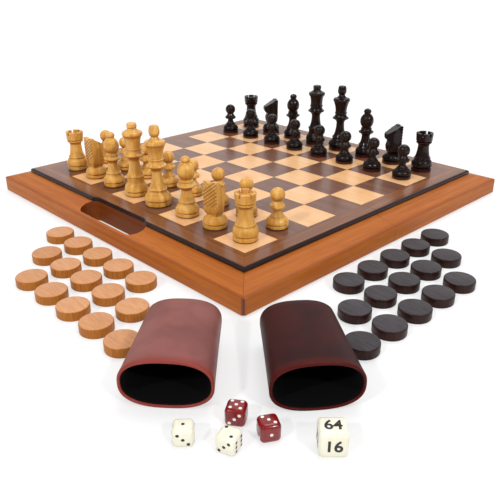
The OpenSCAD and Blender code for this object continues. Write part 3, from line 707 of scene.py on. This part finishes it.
def dice_cups():
    """The two cups, one in lighter and one in much darker, redder leather."""
    cloth = cup_lining_cloth()
    first, second = lay_cup(FIRST_CUP, FIRST_CUP_TURN), lay_cup(SECOND_CUP, SECOND_CUP_TURN)
    lighter_skin = leather("lighter_leather", first, srgb(134, 74, 68), srgb(114, 58, 54),
                    srgb(132, 44, 32), 0.35)
    darker_skin = leather("darker_leather", second, srgb(58, 9, 7), srgb(42, 5, 5),
                      srgb(74, 15, 10), 0.12)
    dice_cup(1, first, lighter_skin, cloth)
    dice_cup(2, second, darker_skin, cloth)


def pip_places(count):
    """Places of the pips on a face, in steps of the pip spacing."""
    places = [(0, 0)] if count % 2 else []
    if count > 1:
        places += [(1, 1), (-1, -1)]
    if count > 3:
        places += [(1, -1), (-1, 1)]
    if count == 6:
        places += [(1, 0), (-1, 0)]
    return places


def rounded_block(name, side, radius, place):
    """A cube with rounded edges and corners, put at place."""
    bm = bmesh.new()
    bmesh.ops.create_cube(bm, size=side)
    bmesh.ops.bevel(bm, geom=bm.edges[:] + bm.verts[:], offset=radius, segments=6, profile=0.5,
                    affect="EDGES")
    bm.transform(place)
    return smooth_mesh(name, bm)


def block_place(node, turn):
    """The middle of a CAD node, turned about the vertical."""
    low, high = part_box(node)
    return Matrix.Translation((low + high) / 2) @ turned("Z", turn)


def die(node, turn, tumble, skin, pip_skin, slot):
    """A die with well rounded edges and painted pips."""
    at = block_place(node, turn)
    body = node + "_set"
    mesh = rounded_block(node, DIE_SIDE, DIE_ROUND, at)
    block = new_piece(node + "_block", mesh, skin, body)
    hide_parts(node)
    thrown = at @ Euler([math.radians(a) for a in (*tumble, 0)]).to_matrix().to_4x4()
    squash = Matrix.Diagonal((1, 1, PIP_FLAT, 1))
    bm = bmesh.new()
    for axis, angle, count in PIP_FACES:
        for u, v in pip_places(count):
            spot = Matrix.Translation((u * PIP_STEP, v * PIP_STEP, DIE_SIDE / 2))
            bmesh.ops.create_uvsphere(bm, u_segments=20, v_segments=10, radius=PIP_R,
                                      matrix=thrown @ turned(axis, angle) @ spot @ squash)
    new_piece(node + "_pips", smooth_mesh(node + "_pips", bm), pip_skin, body)


def doubling_cube(skin, ink):
    """The doubling cube, with a power of two on each face."""
    node, body, slot = "doubling_cube", "doubling_cube_set", "ivory_plastic"
    at = block_place(node, CUBE_TURN)
    mesh = rounded_block(node, CUBE_SIDE, CUBE_ROUND, at)
    block = new_piece("doubling_cube_block", mesh, skin, body)
    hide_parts(node)
    for (axis, angle, _), (number, spin) in zip(PIP_FACES, CUBE_NUMBERS):
        words = bpy.data.curves.new("numeral_%d" % number, "FONT")
        words.body = str(number)
        words.size = NUMERAL_SIZE
        words.align_x = words.align_y = "CENTER"
        words.extrude, words.offset = NUMERAL_T, NUMERAL_BOLD
        on_face = Matrix.Translation((0, 0, CUBE_SIDE / 2))
        place = at @ turned(axis, angle) @ on_face @ turned("Z", spin)
        new_piece("doubling_cube_%d" % number, words, ink, body, place)


def dice_and_cube():
    """Two ivory dice, two red dice and the doubling cube."""
    ivory = plastic("ivory_plastic", srgb(238, 234, 214), srgb(220, 212, 180))
    red = plastic("red_plastic", srgb(128, 16, 18), srgb(80, 8, 12))
    black_paint = paint("black_paint", srgb(14, 14, 16))
    white_paint = paint("white_paint", srgb(240, 236, 226))
    for throw in WHITE_DICE:
        die(*throw, ivory, black_paint, "ivory_plastic")
    for throw in RED_DICE:
        die(*throw, red, white_paint, "red_plastic")
    doubling_cube(ivory, black_paint)


def white_world():
    """White before the camera, plain light all around, and a backdrop for reflections."""
    world = bpy.data.worlds.new("studio")
    bpy.context.scene.world = world
    world.use_nodes = True
    t = Nodes(world.node_tree)
    turn, rise = math.radians(CAMERA_TURN), math.radians(BACKDROP_RISE)
    toward = (-math.sin(turn) * math.cos(rise), math.cos(turn) * math.cos(rise), math.sin(rise))
    start, end = (math.cos(math.radians(angle)) for angle in BACKDROP_FADE)
    direction = t.add("ShaderNodeTexCoord").outputs["Generated"]
    backdrop = t.ramp(t.dot(direction, toward), end, start, BACKDROP_DIM, 1.0)
    path = t.add("ShaderNodeLightPath").outputs
    strength = t.add("ShaderNodeMapRange", {"Value": path["Is Glossy Ray"], "To Min": AMBIENT,
                                            "To Max": backdrop}).outputs["Result"]
    ambient = t.add("ShaderNodeBackground", {"Color": WHITE, "Strength": strength})
    seen = t.add("ShaderNodeBackground", {"Color": WHITE, "Strength": 1.0})
    either = t.blend(path["Is Camera Ray"], ambient, seen)
    t.add("ShaderNodeOutputWorld", {0: either.outputs[0]})


def soft_sun(name, azimuth, elevation, strength, angle):
    """A soft far light; azimuth 0 shines along +Y."""
    lamp = bpy.data.lights.new(name, "SUN")
    lamp.energy, lamp.angle = strength, math.radians(angle)
    obj = bpy.data.objects.new(name, lamp)
    bpy.context.scene.collection.objects.link(obj)
    obj.rotation_euler = (math.radians(90 - elevation), 0, math.radians(azimuth))


def floor_white():
    """Pale and partly glowing before the camera, clear from below and to soft light from near."""
    s = Shade("floor")
    path = s.add("ShaderNodeLightPath").outputs
    pale = s.add("ShaderNodeBsdfPrincipled", {"Base Color": (0.92, 0.92, 0.92, 1),
                                              "Roughness": 0.9})
    glow = s.add("ShaderNodeEmission", {"Color": WHITE, "Strength": 1.0})
    above = s.blend(s.math("MULTIPLY", path["Is Camera Ray"], FLOOR_GLOW), pale, glow)
    near = s.math("LESS_THAN", path["Ray Length"], FLOOR_CLEAR)
    below = s.add("ShaderNodeNewGeometry").outputs["Backfacing"]
    open_to = s.math("MULTIPLY_ADD", near, path["Is Diffuse Ray"], below)
    return s.end(s.blend(open_to, above, s.add("ShaderNodeBsdfTransparent")))


def pale_floor():
    """The table's plane, which reaches far beyond the set."""
    mesh = bpy.data.meshes.new("floor")
    corners = [(-1, -1), (1, -1), (1, 1), (-1, 1)]
    mesh.from_pydata([(x * FLOOR_REACH, y * FLOOR_REACH, TABLE_Z) for x, y in corners], [],
                     [(0, 1, 2, 3)])
    mesh.materials.append(floor_white())
    floor = bpy.data.objects.new("floor", mesh)
    bpy.context.scene.collection.objects.link(floor)


def camera():
    """The camera at the place from which the photograph was taken."""
    data = bpy.data.cameras.new("camera")
    data.lens, data.sensor_width = CAMERA_LENS, SENSOR_W
    data.clip_start, data.clip_end = CLIP
    obj = bpy.data.objects.new("camera", data)
    bpy.context.scene.collection.objects.link(obj)
    obj.location = CAMERA_PLACE
    obj.rotation_euler = (math.radians(90 - CAMERA_DIP), 0, math.radians(CAMERA_TURN))
    bpy.context.scene.camera = obj


dress_frame()
dice_cups()
dice_and_cube()
white_world()
for name, side, rise, strength, size in LAMPS:
    soft_sun(name, CAMERA_TURN + side, rise, strength, size)
pale_floor()
camera()
bpy.context.scene.view_settings.view_transform = "Standard"
